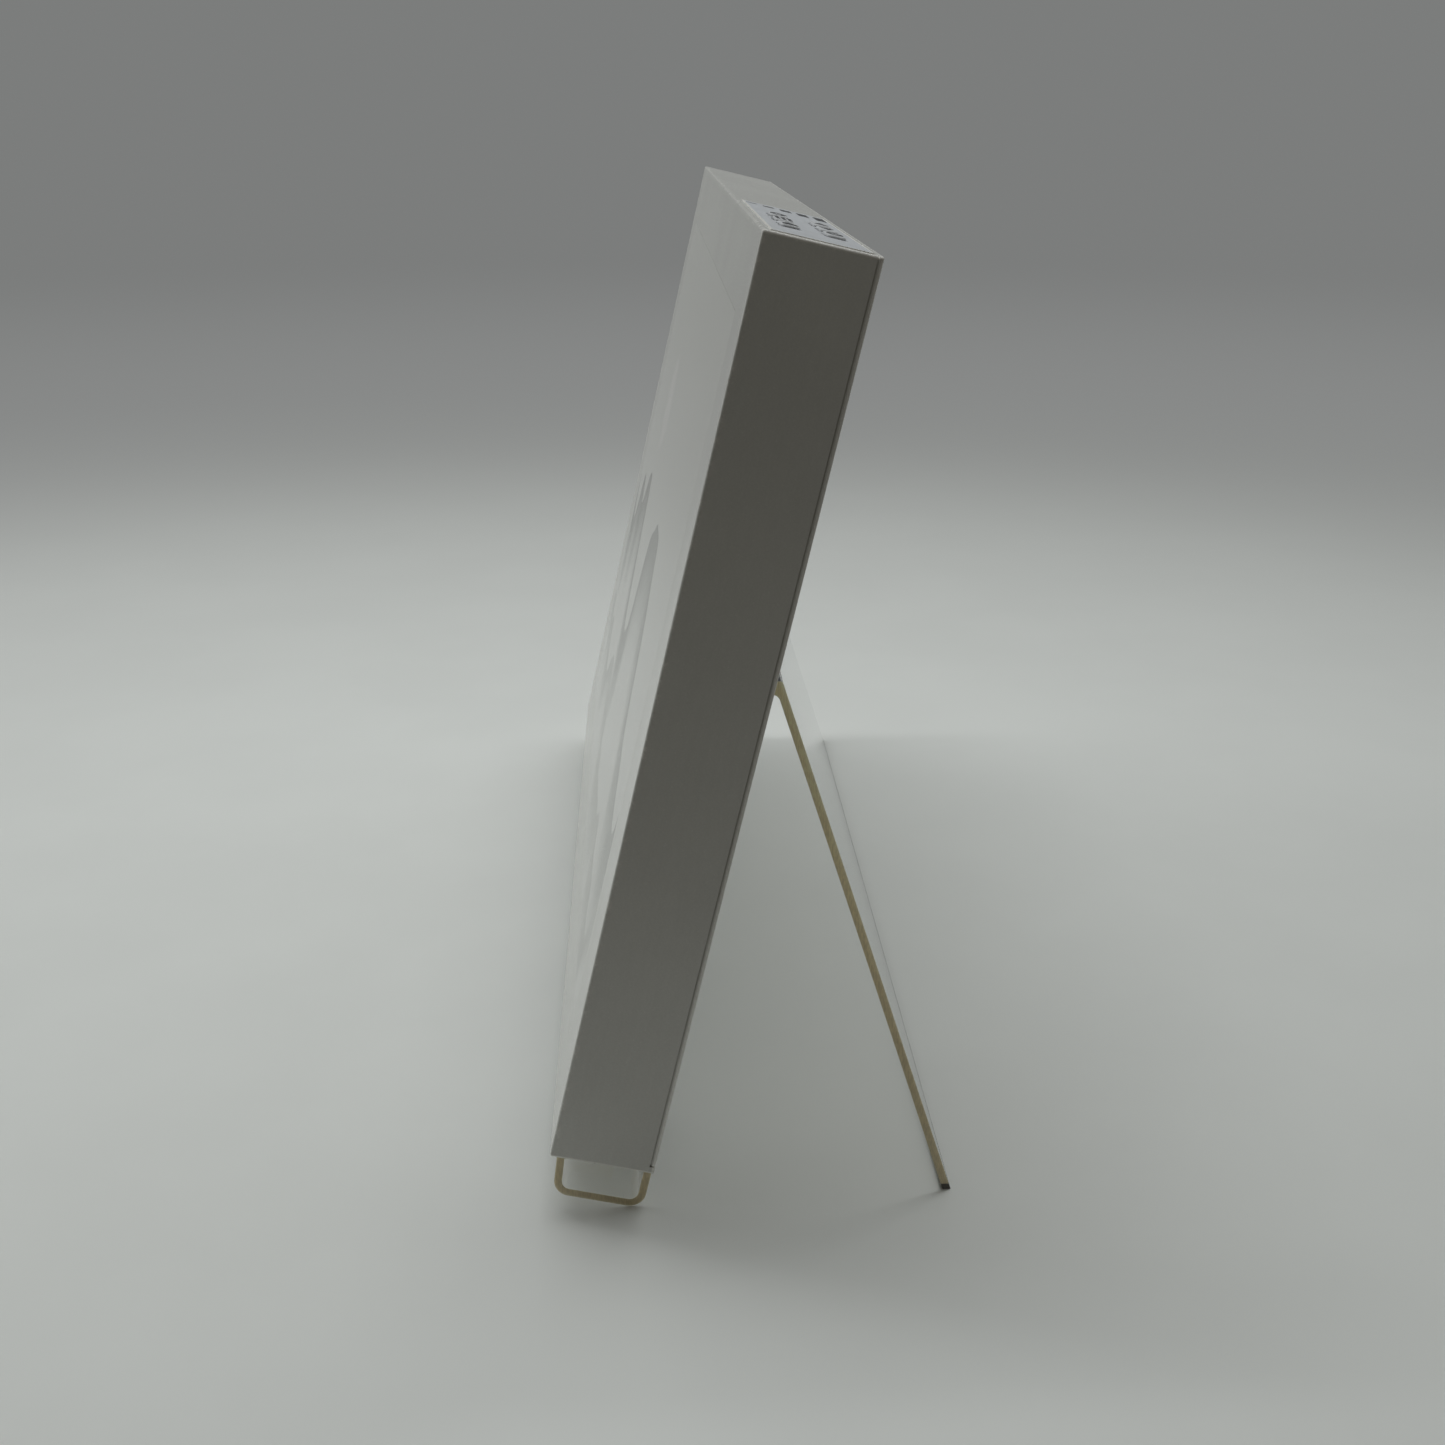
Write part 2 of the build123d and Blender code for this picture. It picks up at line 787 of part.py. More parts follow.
def leg_point(out, along):
    """Point on the end view, measured from the hinge axis of the open leg."""
    depth = hinge_depth + out * cos(leg_open) + along * sin(leg_open)
    height = hinge_height + out * sin(leg_open) - along * cos(leg_open)
    return (depth, height)


def leg_block(out_from, out_to, along_from, along_to):
    """Corner points of a block that is square to the open leg."""
    return [
        leg_point(out_from, along_from),
        leg_point(out_to, along_from),
        leg_point(out_to, along_to),
        leg_point(out_from, along_to),
    ]


# Back cover: thin panel with a sunk trough, whose lugs hold the hinge pin and stop the leg
back_axis = Axis(corner, back_dir)
with BuildPart(rear(frame_depth)) as back_cover:
    cover_height = frame_height - rail_height - fit_gap
    with BuildSketch(layer(shell_depth)):
        with Locations((0, frame_height - cover_height / 2)):
            RectangleRounded(frame_width, cover_height, corner_round)
    extrude(amount=-back_thickness)
    fillet(back_cover.faces().sort_by(back_axis)[-1].edges(), edge_round / 2)
    chamfer(back_cover.faces().sort_by(back_axis)[0].edges(), seam_chamfer)
    with BuildSketch(side):
        with Locations((trough_floor - trough_wall, hinge_height)):
            Rectangle(
                shell_depth - trough_floor + trough_wall,
                2 * (trough_half + trough_wall),
                align=(Align.MIN, Align.CENTER),
            )
    extrude(amount=leg_half + trough_gap + trough_wall, both=True)
    with BuildSketch(side):
        with Locations((trough_floor, hinge_height)):
            Rectangle(
                frame_depth - trough_floor,
                2 * trough_half,
                align=(Align.MIN, Align.CENTER),
            )
    extrude(amount=leg_half + trough_gap, both=True, mode=Mode.SUBTRACT)
    # Lugs
    for lug_x in lug_spots:
        with BuildSketch(side.offset(lug_x)):
            with Locations((trough_floor, hinge_height)):
                Rectangle(hinge_depth - trough_floor, 2 * lug_round, align=(Align.MIN, Align.CENTER))
            with Locations(hinge_point):
                Circle(lug_round)
            with BuildLine():
                Polyline(*leg_block(0, leg_face, 0, stop_distance - stop_gap), close=True)
            make_face()
            with Locations(hinge_point):
                Circle(hinge_pin_radius + hinge_hold_gap, mode=Mode.SUBTRACT)
        extrude(amount=lug_width / 2, both=True)
    # Speaker posts, speaker grilles and vents
    with BuildSketch(layer(shell_depth)):
        with Locations(*speaker_posts):
            Circle(speaker_post_radius)
            Circle(pilot_radius, mode=Mode.SUBTRACT)
    extrude(amount=speaker_post)
    with BuildSketch(layer(shell_depth)):
        with Locations((-speaker_x, speaker_rise), (speaker_x, speaker_rise)):
            with GridLocations(grille_pitch, grille_pitch, grille_columns, grille_rows):
                Circle(grille_radius)
        with Locations((0, frame_height - vent_inset)):
            with GridLocations(vent_pitch, vent_width, vent_count, 1):
                SlotOverall(vent_length, vent_width)
    extrude(amount=-back_thickness, mode=Mode.SUBTRACT)
    with Locations(*[(x, -s) for x, s in cover_spots]):
        flat_screw_hole(back_thickness)
finish(back_cover, "back_cover")

# Cover screws, flush with the back face
with BuildPart(rear(frame_depth)) as cover_screws:
    with Locations(*[(x, -s) for x, s in cover_spots]):
        flat_screw(cover_screw_length, back_thickness)
finish(cover_screws, "cover_screws")

# Hinge pin through the lugs and the barrel of the leg
pin_half = leg_half - pin_end_inset
with BuildPart() as hinge_pin:
    with BuildSketch(side):
        with Locations(hinge_point):
            Circle(hinge_pin_radius)
    extrude(amount=pin_half, both=True)
finish(hinge_pin, "hinge_pin")

# Stand leg: clear sheet that bends into a slim barrel at the top and is notched around the lugs
with BuildPart() as stand_leg:
    with BuildSketch(side) as leg_end:
        with Locations(hinge_point):
            Circle(barrel_radius)
        with BuildLine():
            Polyline(*leg_block(barrel_bore, leg_face, -leg_crown, leg_reach + leg_pad_height), close=True)
        make_face()
        crown = Vector(*leg_point(leg_face, -leg_crown))
        fillet(leg_end.vertices().sort_by_distance(crown)[0], crown_round)
        armpit = Vector(*leg_point(barrel_bore, barrel_radius))
        fillet(leg_end.vertices().sort_by_distance(armpit)[0], barrel_blend)
        with Locations(hinge_point):
            Circle(barrel_bore, mode=Mode.SUBTRACT)
    extrude(amount=leg_half, both=True)
    split(bisect_by=Plane.XY.offset(leg_pad_height), keep=Keep.TOP)
    for lug_x in lug_spots:
        with BuildSketch(side.offset(lug_x)):
            with BuildLine():
                Polyline(
                    *leg_block(-trough_half, trough_half, -trough_half, stop_distance),
                    close=True,
                )
            make_face()
        extrude(amount=notch_half, both=True, mode=Mode.SUBTRACT)
finish(stand_leg, "stand_leg")

# Rubber pad along the tip of the leg
with BuildPart() as leg_pad:
    with BuildSketch(side):
        with BuildLine():
            Polyline(*leg_block(barrel_bore, leg_face, 0, leg_reach + leg_pad_height), close=True)
        make_face()
    extrude(amount=leg_half, both=True)
    split(bisect_by=Plane.XY.offset(leg_pad_height), keep=Keep.BOTTOM)
    split(bisect_by=Plane.XY, keep=Keep.TOP)
finish(leg_pad, "leg_pad")

# Foot channel: clear sheet bent into a U under the casing
foot_half = frame_width / 2 - foot_end_inset
arm_front = foot_front_inset + sheet_thickness / 2
arm_back = foot_back - sheet_thickness / 2
web_middle = sheet_thickness / 2 - foot_drop
arm_rise = sheet_thickness
arm_lean = foot_toe / web_middle
with BuildPart(underside(-foot_drop)) as foot_channel:
    with BuildSketch(side):
        with BuildLine():
            FilletPolyline(
                (arm_front + arm_lean * arm_rise, arm_rise),
                (arm_front + foot_toe, web_middle),
                (arm_back, web_middle),
                (arm_back, arm_rise),
                radius=foot_bend + sheet_thickness / 2,
            )
        trace(line_width=sheet_thickness)
    extrude(amount=foot_half, both=True)
    split(bisect_by=shelf(0), keep=Keep.BOTTOM)
    with Locations(*[(x, -t) for x, t in foot_block_spots]):
        flat_screw_hole(sheet_thickness)
finish(foot_channel, "foot_channel")

# Blocks that carry the casing on the floor of the channel
with BuildPart() as foot_blocks:
    with BuildSketch(shelf(sheet_thickness - foot_drop)):
        with Locations(*foot_block_spots):
            Rectangle(foot_block_length, foot_block_depth)
            Circle(pilot_radius, mode=Mode.SUBTRACT)
    extrude(amount=foot_drop - sheet_thickness)
finish(foot_blocks, "foot_blocks")

# Foot screws, driven upwards through the channel and its blocks into the casing
with BuildPart(underside(-foot_drop)) as foot_screws:
    with Locations(*[(x, -t) for x, t in foot_block_spots]):
        flat_screw(foot_screw_length, sheet_thickness)
finish(foot_screws, "foot_screws")
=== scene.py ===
"""Looks of a digital photo frame that leans back on a clear bent foot and a clear folding leg.

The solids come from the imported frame, in metres. This script gives them their finishes, adds the
symbols on the keys, and sets the floor, the soft light and the camera.
"""

import json
from math import atan2, cos, radians, sin

import bmesh
import bpy
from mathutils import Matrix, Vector


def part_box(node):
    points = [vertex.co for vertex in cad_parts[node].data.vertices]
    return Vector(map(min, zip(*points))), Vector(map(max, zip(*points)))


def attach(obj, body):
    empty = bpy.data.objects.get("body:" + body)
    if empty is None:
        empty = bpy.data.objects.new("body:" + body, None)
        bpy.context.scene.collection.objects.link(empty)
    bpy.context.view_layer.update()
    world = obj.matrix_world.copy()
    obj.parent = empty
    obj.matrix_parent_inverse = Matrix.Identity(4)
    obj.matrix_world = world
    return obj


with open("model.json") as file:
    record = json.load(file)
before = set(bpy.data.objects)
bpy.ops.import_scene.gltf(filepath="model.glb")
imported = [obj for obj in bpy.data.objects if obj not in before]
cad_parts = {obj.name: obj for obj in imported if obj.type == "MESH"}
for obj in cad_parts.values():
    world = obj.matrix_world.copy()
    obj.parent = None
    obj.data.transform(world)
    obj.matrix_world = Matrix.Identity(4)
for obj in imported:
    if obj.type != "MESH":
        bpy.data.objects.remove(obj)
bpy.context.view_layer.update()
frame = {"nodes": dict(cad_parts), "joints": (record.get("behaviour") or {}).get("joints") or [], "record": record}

MM = 0.001

# Camera, in metres, with its lens and sensor in millimetres
camera_spot = (0.4161, -0.0185, 0.2002)
camera_turn = radians(2.514)
camera_pitch = radians(19.603)
camera_lens = 43.85
camera_sensor = 36.0
camera_near = 0.01

# Floor and backdrop, whose greys change with the distance from the object, in metres
stage_radius = 4.0
stage_sides = 96
floor_near = 0.12
floor_far = 0.75
backdrop_near = 0.40
backdrop_far = 0.95
floor_pale = (0.832, 0.852, 0.839)
floor_dark = (0.56, 0.57, 0.565)
backdrop_low = (0.258, 0.264, 0.261)
backdrop_high = (0.200, 0.205, 0.202)

# Floor on the camera's side, which throws little light on the object, in metres along X
floor_dim = (0.20, 0.19, 0.17)
dim_near = 0.14
dim_far = 0.26

# Light: a dim warm room on the camera's side goes over into a bright tent beyond the object
tent_light = (0.655, 0.675, 0.665)
room_light = (0.069, 0.064, 0.053)
tent_front = 0.25  # X of the direction in which the tent starts
tent_back = -0.45  # X of the direction in which it is full

# Lamps, in metres and watts: a strip high above the object and a square one at the left of the view
lamp_tint = (0.985, 1.0, 0.985)
strip_spot = (-0.13, -0.05, 1.0)
strip_target = (-0.13, -0.05, 0.0)
strip_width = 0.05
strip_length = 0.8
strip_power = 2.45
square_spot = (-0.35, -1.05, 0.40)
square_target = (0.0, 0.0, 0.05)
square_side = 0.5
square_power = 1.75

# Tones of the casing and its wear, and the white of its painted highlights, which also pales the film's rim
casing_white = (0.665, 0.665, 0.640)
rubbed_white = (0.76, 0.75, 0.72)
# White of the painted highlights, also used for the film's paler rim
highlight_and_rim_white = (0.90, 0.89, 0.86)
nick_brown = (0.50, 0.46, 0.39)

# Wear of the casing and its painted highlights along the end edges and beside the seam, in millimetres from an
# edge or from the seam: where each starts and where it is full
rub_reach = (1.3, 0.15)
nick_reach = (0.8, 0.1)
end_edge_highlight_inward = (1.3, 0.9)
end_edge_highlight_down = (0.75, 0.35)
# Painted highlight beside the seam: its reach in front of the seam, in millimetres
seam_highlight_start = (0.6, 0.4)
seam_highlight_end = (0.0, 0.05)

# Picture on the screen, as large as the solids hold it, in millimetres; its sky is painted darker towards the top,
# as shade
screen_width = 217.0
screen_height = 136.0
screen_rim = (0.1, 0.0)
sky_painted_shade_start = 45.0
sun_across = -38.0
sun_above_middle = 30.0
sun_rim = (12.5, 11.5)
hill_rim = 0.3
mist_end = 3.0
lower_sky_painted_light = (0.70, 0.70, 0.68)
sun_white = (0.735, 0.73, 0.71)

# Film around the keys and the wedge of bars printed on it, in millimetres
film_pale = (0.655, 0.68, 0.725)
film_smudged = (0.62, 0.64, 0.675)
film_rim = (0.5, 0.2)
wedge_bars = 5
wedge_width = 2.2
wedge_length = 11.0
wedge_start = 4.0
print_dark = (0.05, 0.052, 0.06)
print_spots = (0.065, 0.067, 0.075)
print_blur = 0.05

# Keys and their symbols, in millimetres, the symbols drawn about a key's middle and then stretched
key_pale = (0.66, 0.675, 0.705)
key_rubbed = (0.60, 0.61, 0.635)
symbol_height = 0.05
symbol_stretch = (2.5, 1.4)
weld_gap = 0.0001
arrow_tip = 0.9
arrow_tail = -0.7
arrow_half = 0.95
arc_steps = 24

# Clear sheet, whose sawn ends face sideways, are painted paler upwards as painted light and shade, and let out
# light from inside
acrylic_index = 1.49
sheet_clear = (0.985, 0.985, 0.975)
sheet_shadow = (0.975, 0.975, 0.97)
sawn_facing = (0.75, 0.9)
sawn_olive = (0.80, 0.70, 0.48)
sawn_painted_light_rise = 100.0
sawn_painted_light_tones = (0.76, 1.25)
sawn_glow = 0.5
sawn_reach = 2.0

# Span that a noise keeps to for the most part
noise_low = 0.3
noise_high = 0.7

# Grained finishes: size of a cloud in grains, share of the grain beside it, spread of the roughness
cloud_grains = 14.0
grain_share = 0.6
rough_spread = 0.08


# Axes of the leaning casing, read from the solids

def reach(node, axis):
    """Lowest and highest place of a node along an axis."""
    places = [axis.dot(v.co) for v in frame["nodes"][node].data.vertices]
    return min(places), max(places)


press = next(j for j in frame["joints"] if j["name"] == "key_power_press")
sideways = Vector((1, 0, 0))
up = -Vector(press["axis"]).normalized()
back = Vector((0, up.z, -up.y))
lean = atan2(up.y, up.z)
casing_bottom, casing_top = reach("front_shell", up)
casing_front, seam_place = reach("front_shell", back)
casing_rear = reach("back_cover", back)[1]
corner = up * casing_bottom + back * casing_front

# Sizes of the casing, in millimetres
casing_half = reach("front_shell", sideways)[1] / MM
casing_height = (casing_top - casing_bottom) / MM
casing_depth = (casing_rear - casing_front) / MM
seam_depth = (seam_place - casing_front) / MM


class Nodes:
    """A node tree in the making, with short calls for its nodes."""

    def __init__(self, tree):
        self.tree = tree

    def node(self, kind, inputs, **settings):
        """Add a node, with its settings and what feeds its inputs."""
        made = self.tree.nodes.new(kind)
        for name, value in settings.items():
            setattr(made, name, value)
        for name, value in inputs.items():
            self.feed(made.inputs[name], value)
        return made

    def feed(self, socket, value):
        """Link a socket to an output, or set its value."""
        if isinstance(value, bpy.types.NodeSocket):
            self.tree.links.new(value, socket)
        elif socket.type == "RGBA":
            socket.default_value = (*value, 1.0)
        else:
            socket.default_value = value

    def math(self, operation, first, second=0.0):
        return self.node("ShaderNodeMath", {0: first, 1: second}, operation=operation).outputs[0]

    def times(self, first, second):
        return self.math("MULTIPLY", first, second)

    def plus(self, first, second):
        return self.math("ADD", first, second)

    def minus(self, first, second):
        return self.math("SUBTRACT", first, second)

    def least(self, first, second):
        return self.math("MINIMUM", first, second)

    def most(self, first, second):
        return self.math("MAXIMUM", first, second)

    def inset(self, value, low, high):
        """How far a value lies inside a span, from the span's nearer end."""
        return self.least(self.minus(value, low), self.minus(high, value))

    def smooth(self, value, low, high, start=0.0, end=1.0):
        """A soft step from start to end while value goes from low to high."""
        inputs = {"Value": value, "From Min": low, "From Max": high, "To Min": start, "To Max": end}
        made = self.node("ShaderNodeMapRange", inputs, interpolation_type="SMOOTHSTEP")
        return made.outputs["Result"]

    def vary(self, noise, start=0.0, end=1.0):
        """A noise spread softly from start to end."""
        return self.smooth(noise, noise_low, noise_high, start, end)

    def mix(self, share, first, second):
        """A mix of two colours, by the node's sockets for colours."""
        made = self.node("ShaderNodeMix", {"Factor": share, 6: first, 7: second}, data_type="RGBA")
        return made.outputs[2]

    def blend(self, share, first, second):
        """A mix of two shaders."""
        return self.node("ShaderNodeMixShader", {"Fac": share, 1: first, 2: second}).outputs["Shader"]

    def scale(self, vector, factor):
        """A vector, or a colour made lighter or darker, times a factor."""
        made = self.node("ShaderNodeVectorMath", {0: vector, "Scale": factor}, operation="SCALE")
        return made.outputs[0]

    def stretch(self, vector, factors):
        return self.node("ShaderNodeMapping", {"Vector": vector, "Scale": factors}).outputs["Vector"]

    def split(self, vector):
        return self.node("ShaderNodeSeparateXYZ", {"Vector": vector}).outputs

    def noise(self, vector, size, detail=2.0, rough=0.5):
        """Noise with features of a size, in the units of the vector."""
        inputs = {"Vector": vector, "Scale": 1.0 / size, "Detail": detail, "Roughness": rough}
        return self.node("ShaderNodeTexNoise", inputs).outputs["Fac"]

    def wave(self, place, span, seed):
        """Noise along one line."""
        inputs = {"W": self.plus(self.times(place, 1.0 / span), seed), "Scale": 1.0, "Detail": 2.0}
        return self.node("ShaderNodeTexNoise", inputs, noise_dimensions="1D").outputs["Fac"]

    def looked_at(self):
        """1 on rays that show the background: from the camera, off gloss or through clear sheet,
        with no diffuse bounce before.
        """
        seen = self.node("ShaderNodeLightPath", {}).outputs
        either = self.most(seen["Is Camera Ray"], seen["Is Glossy Ray"])
        either = self.most(either, seen["Is Transmission Ray"])
        return self.times(either, self.math("LESS_THAN", seen["Diffuse Depth"], 0.5))


class Finish(Nodes):
    """A material in the making."""

    def __init__(self, name):
        self.material = bpy.data.materials.new(name)
        self.material.use_nodes = True
        super().__init__(self.material.node_tree)
        self.shader = self.tree.nodes["Principled BSDF"]

    def set(self, **values):
        """Set or link inputs of the main shader, with _ for a space in the name."""
        for name, value in values.items():
            self.feed(self.shader.inputs[name.replace("_", " ")], value)

    def show(self, surface):
        """Give the material another surface than the main shader alone."""
        self.feed(self.tree.nodes["Material Output"].inputs["Surface"], surface)

    def place(self):
        """The piece's own coordinates, in metres of the frame at rest."""
        return self.node("ShaderNodeTexCoord", {}).outputs["Object"]

    def millimetres(self):
        """The piece's own coordinates in millimetres."""
        return self.scale(self.place(), 1 / MM)

    def casing(self):
        """Millimetres on the casing: X across, Y behind the front face, Z up from its lower edge."""
        inputs = {"Vector": self.place(), "Location": corner, "Rotation": (-lean, 0, 0)}
        inputs["Scale"] = (MM, MM, MM)
        return self.node("ShaderNodeMapping", inputs, vector_type="TEXTURE").outputs["Vector"]

    def facing(self):
        """The surface's direction in the piece's own axes, apart from any bump."""
        normal = self.node("ShaderNodeNewGeometry", {}).outputs["True Normal"]
        axes = {"convert_from": "WORLD", "convert_to": "OBJECT"}
        turned = self.node("ShaderNodeVectorTransform", {"Vector": normal}, vector_type="NORMAL", **axes)
        return self.split(turned.outputs["Vector"])

    def bump(self, height, relief):
        """Relief in millimetres for a height of 1."""
        inputs = {"Height": height, "Distance": relief * MM, "Strength": 1.0}
        self.set(Normal=self.node("ShaderNodeBump", inputs).outputs["Normal"])


# Finishes of the outside

def white_casing():
    """White semi-gloss casing: paper-fine grain, faint clouding and rubbed edges, with painted highlights along
    the end edges and beside the seam.
    """
    f = Finish("white_casing")
    spot = f.casing()
    sides = f.split(spot)
    to_end = f.inset(sides["X"], -casing_half, casing_half)
    to_face = f.inset(sides["Y"], 0.0, casing_depth)
    to_rim = f.inset(sides["Z"], 0.0, casing_height)
    to_edge = f.most(f.least(to_end, to_face), f.least(f.most(to_end, to_face), to_rim))
    to_seam = f.minus(seam_depth, sides["Y"])
    cloud = f.noise(spot, size=34.0, detail=3.0)
    waves = f.noise(spot, size=9.0)
    fibre = f.noise(f.stretch(spot, (1.0, 1.0, 0.12)), size=1.1, detail=3.0)
    grain = f.noise(spot, size=0.34)
    patches = f.noise(spot, size=2.4, detail=4.0, rough=0.7)
    chips = f.noise(spot, size=1.3)
    rub = f.times(f.smooth(to_edge, *rub_reach), f.smooth(patches, 0.47, 0.62))
    nick = f.times(f.smooth(to_edge, *nick_reach), f.smooth(chips, 0.66, 0.72))
    # Painted highlight: a white line along the edges where the ends meet the top and the bottom
    end_edge_highlight = f.times(f.smooth(to_end, *end_edge_highlight_inward), f.smooth(to_rim, *end_edge_highlight_down))
    # Painted highlight: a light line around the casing just in front of the seam
    seam_highlight = f.times(f.smooth(to_seam, *seam_highlight_start), f.smooth(to_seam, *seam_highlight_end))
    colour = f.mix(rub, casing_white, rubbed_white)
    # The painted highlights along the end edges and beside the seam go on in white here
    colour = f.mix(f.most(end_edge_highlight, seam_highlight), colour, highlight_and_rim_white)
    colour = f.mix(nick, colour, nick_brown)
    tone = f.times(f.vary(cloud, 0.965, 1.02), f.vary(fibre, 0.99, 1.006))
    tone = f.times(tone, f.vary(grain, 0.975, 1.015))
    f.set(Base_Color=f.scale(colour, tone))
    f.set(Roughness=f.smooth(f.plus(grain, f.times(rub, 0.2)), 0.2, 0.8, 0.18, 0.28))
    f.set(Specular_IOR_Level=0.5)
    height = f.plus(f.plus(f.times(grain, 0.5), f.times(fibre, 0.15)), waves)
    f.bump(f.minus(height, f.times(nick, 4.0)), relief=0.015)
    return f.material


def hills(f, colour, across, rise, seed, span, low, high, ink, mist):
    """A colour with a line of hills over it, whose inked crest fades downwards into mist."""
    crest = f.vary(f.wave(across, span, seed), low, high)
    below = f.minus(crest, rise)
    veil = f.times(f.smooth(below, -hill_rim, hill_rim), f.smooth(below, mist, mist_end))
    return f.mix(veil, colour, f.scale(casing_white, ink))


def screen_picture():
    """Anti-glare screen showing a pale picture of misty hills under a white sky, which is painted darker towards
    the top as shade.
    """
    f = Finish("screen_picture")
    spot = f.casing()
    sides = f.split(spot)
    across = sides["X"]
    rise = f.minus(sides["Z"], (casing_height - screen_height) / 2)
    # Painted shade: the sky goes from a lighter white low down to the darker casing white at the top
    colour = f.mix(f.smooth(rise, sky_painted_shade_start, screen_height), lower_sky_painted_light, casing_white)
    sun_spot = (sun_across, 0.0, casing_height / 2 + sun_above_middle)
    sun = f.node("ShaderNodeVectorMath", {0: spot, 1: sun_spot}, operation="DISTANCE")
    colour = f.mix(f.smooth(sun.outputs["Value"], *sun_rim), colour, sun_white)
    colour = hills(f, colour, across, rise, seed=7.3, span=95.0, low=34.0, high=82.0, ink=0.60, mist=34.0)
    colour = hills(f, colour, across, rise, seed=2.1, span=60.0, low=8.0, high=30.0, ink=0.80, mist=18.0)
    edge = f.least(f.inset(across, -screen_width / 2, screen_width / 2), f.inset(rise, 0.0, screen_height))
    colour = f.mix(f.smooth(edge, *screen_rim), colour, casing_white)
    sparkle = f.noise(spot, size=0.16, detail=1.0)
    f.set(Base_Color=f.scale(colour, f.vary(sparkle, 0.975, 1.02)))
    f.set(Roughness=f.vary(sparkle, 0.19, 0.28))
    f.set(Specular_IOR_Level=0.5)
    f.bump(f.plus(sparkle, f.noise(spot, size=12.0, detail=1.0)), relief=0.01)
    return f.material


def control_film():
    """Pale bluish satin film around the keys, with a paler rim and a printed wedge of bars."""
    f = Finish("control_film")
    spot = f.casing()
    sides = f.split(spot)
    grain = f.noise(spot, size=0.22)
    brushed = f.noise(f.stretch(spot, (0.06, 1.0, 1.0)), size=0.5)
    smudge = f.smooth(f.noise(spot, size=7.0, detail=3.0), 0.45, 0.75)
    colour = f.mix(smudge, film_pale, film_smudged)
    low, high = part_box("control_strip")
    left, right = low.x / MM, high.x / MM
    front, rear = [(place - casing_front) / MM for place in reach("control_strip", back)]
    rim = f.least(f.inset(sides["X"], left, right), f.inset(sides["Y"], front, rear))
    colour = f.mix(f.smooth(rim, *film_rim), colour, highlight_and_rim_white)
    start = left + wedge_start
    bar_half = wedge_width / 2
    for step in range(wedge_bars):
        middle = front + (rear - front) * (step + 0.5) / wedge_bars
        end = start + wedge_length * (step + 1) / wedge_bars
        within = f.inset(sides["Y"], middle - bar_half, middle + bar_half)
        within = f.least(within, f.inset(sides["X"], start, end))
        colour = f.mix(f.smooth(within, -print_blur, print_blur), colour, print_dark)
    tone = f.times(f.vary(grain, 0.97, 1.02), f.vary(brushed, 0.98, 1.01))
    f.set(Base_Color=f.scale(colour, tone))
    f.set(Roughness=f.vary(brushed, 0.34, 0.48))
    f.set(Specular_IOR_Level=0.45)
    f.bump(f.plus(grain, brushed), relief=0.008)
    return f.material


def key_plastic():
    """Pale satin keys, a little greyer where fingers have rubbed them."""
    f = Finish("key_plastic")
    spot = f.millimetres()
    grain = f.noise(spot, size=0.18)
    rub = f.smooth(f.noise(spot, size=2.2, detail=3.0), 0.45, 0.7)
    f.set(Base_Color=f.mix(rub, key_pale, key_rubbed))
    f.set(Roughness=f.plus(f.vary(grain, 0.40, 0.55), f.times(rub, -0.08)))
    f.set(Specular_IOR_Level=0.4)
    f.bump(grain, relief=0.01)
    return f.material


def clear_sheet():
    """Clear acrylic sheet: fine scratches on its faces, olive-brown sawn ends painted paler upwards as painted
    light and shade, light shadow.
    """
    f = Finish("clear_sheet")
    spot = f.millimetres()
    sawn = f.smooth(f.math("ABSOLUTE", f.facing()["X"]), *sawn_facing)
    scratch = f.smooth(f.noise(f.stretch(spot, (0.04, 1.0, 1.0)), size=0.25), 0.68, 0.78)
    dust = f.smooth(f.noise(spot, size=0.5, detail=1.0), 0.76, 0.82)
    saw = f.noise(f.stretch(spot, (1.0, 1.0, 0.2)), size=0.22)
    sawn_colour_and_painted_light = f.scale(sawn_olive, f.vary(saw, 0.88, 1.08))
    # Painted light and shade: the sawn ends are darker at the floor and paler higher up
    sawn_colour_and_painted_light = f.scale(sawn_colour_and_painted_light, f.smooth(f.split(spot)["Z"], 0.0, sawn_painted_light_rise, *sawn_painted_light_tones))
    f.set(Base_Color=f.mix(sawn, sheet_clear, sawn_colour_and_painted_light))
    f.set(Transmission_Weight=f.most(0.0, f.minus(1.0, sawn)))
    f.set(IOR=acrylic_index)
    f.set(Subsurface_Weight=f.times(sawn, sawn_glow))
    f.set(Subsurface_Scale=sawn_reach * MM)
    f.set(Subsurface_Radius=(1, 1, 1))
    worn = f.plus(f.times(scratch, 0.10), f.times(dust, 0.25))
    f.set(Roughness=f.plus(f.smooth(sawn, 0.0, 1.0, 0.02, 0.42), worn))
    f.bump(f.plus(f.times(scratch, -0.6), f.times(f.times(saw, sawn), 1.5)), relief=0.01)
    path = f.node("ShaderNodeLightPath", {}).outputs
    passing = f.most(path["Is Shadow Ray"], path["Is Diffuse Ray"])
    passing = f.times(passing, f.minus(1.0, sawn))
    through = f.node("ShaderNodeBsdfTransparent", {"Color": sheet_shadow}).outputs["BSDF"]
    f.show(f.blend(passing, f.shader.outputs["BSDF"], through))
    return f.material


def grained(name, colour, spots, size, relief, rough, metal=0.0, stretch=(1.0, 1.0, 1.0)):
    """A finish of two near colours in a grain, with its size and relief in millimetres."""
    f = Finish(name)
    spot = f.stretch(f.millimetres(), stretch)
    grain = f.noise(spot, size, detail=3.0)
    cloud = f.noise(spot, size * cloud_grains)
    both = f.plus(f.times(grain, grain_share), f.times(cloud, 1 - grain_share))
    f.set(Base_Color=f.mix(f.vary(both), colour, spots))
    f.set(Roughness=f.smooth(both, 0.25, 0.75, rough - rough_spread, rough + rough_spread))
    f.set(Metallic=metal)
    f.bump(grain, relief)
    return f.material


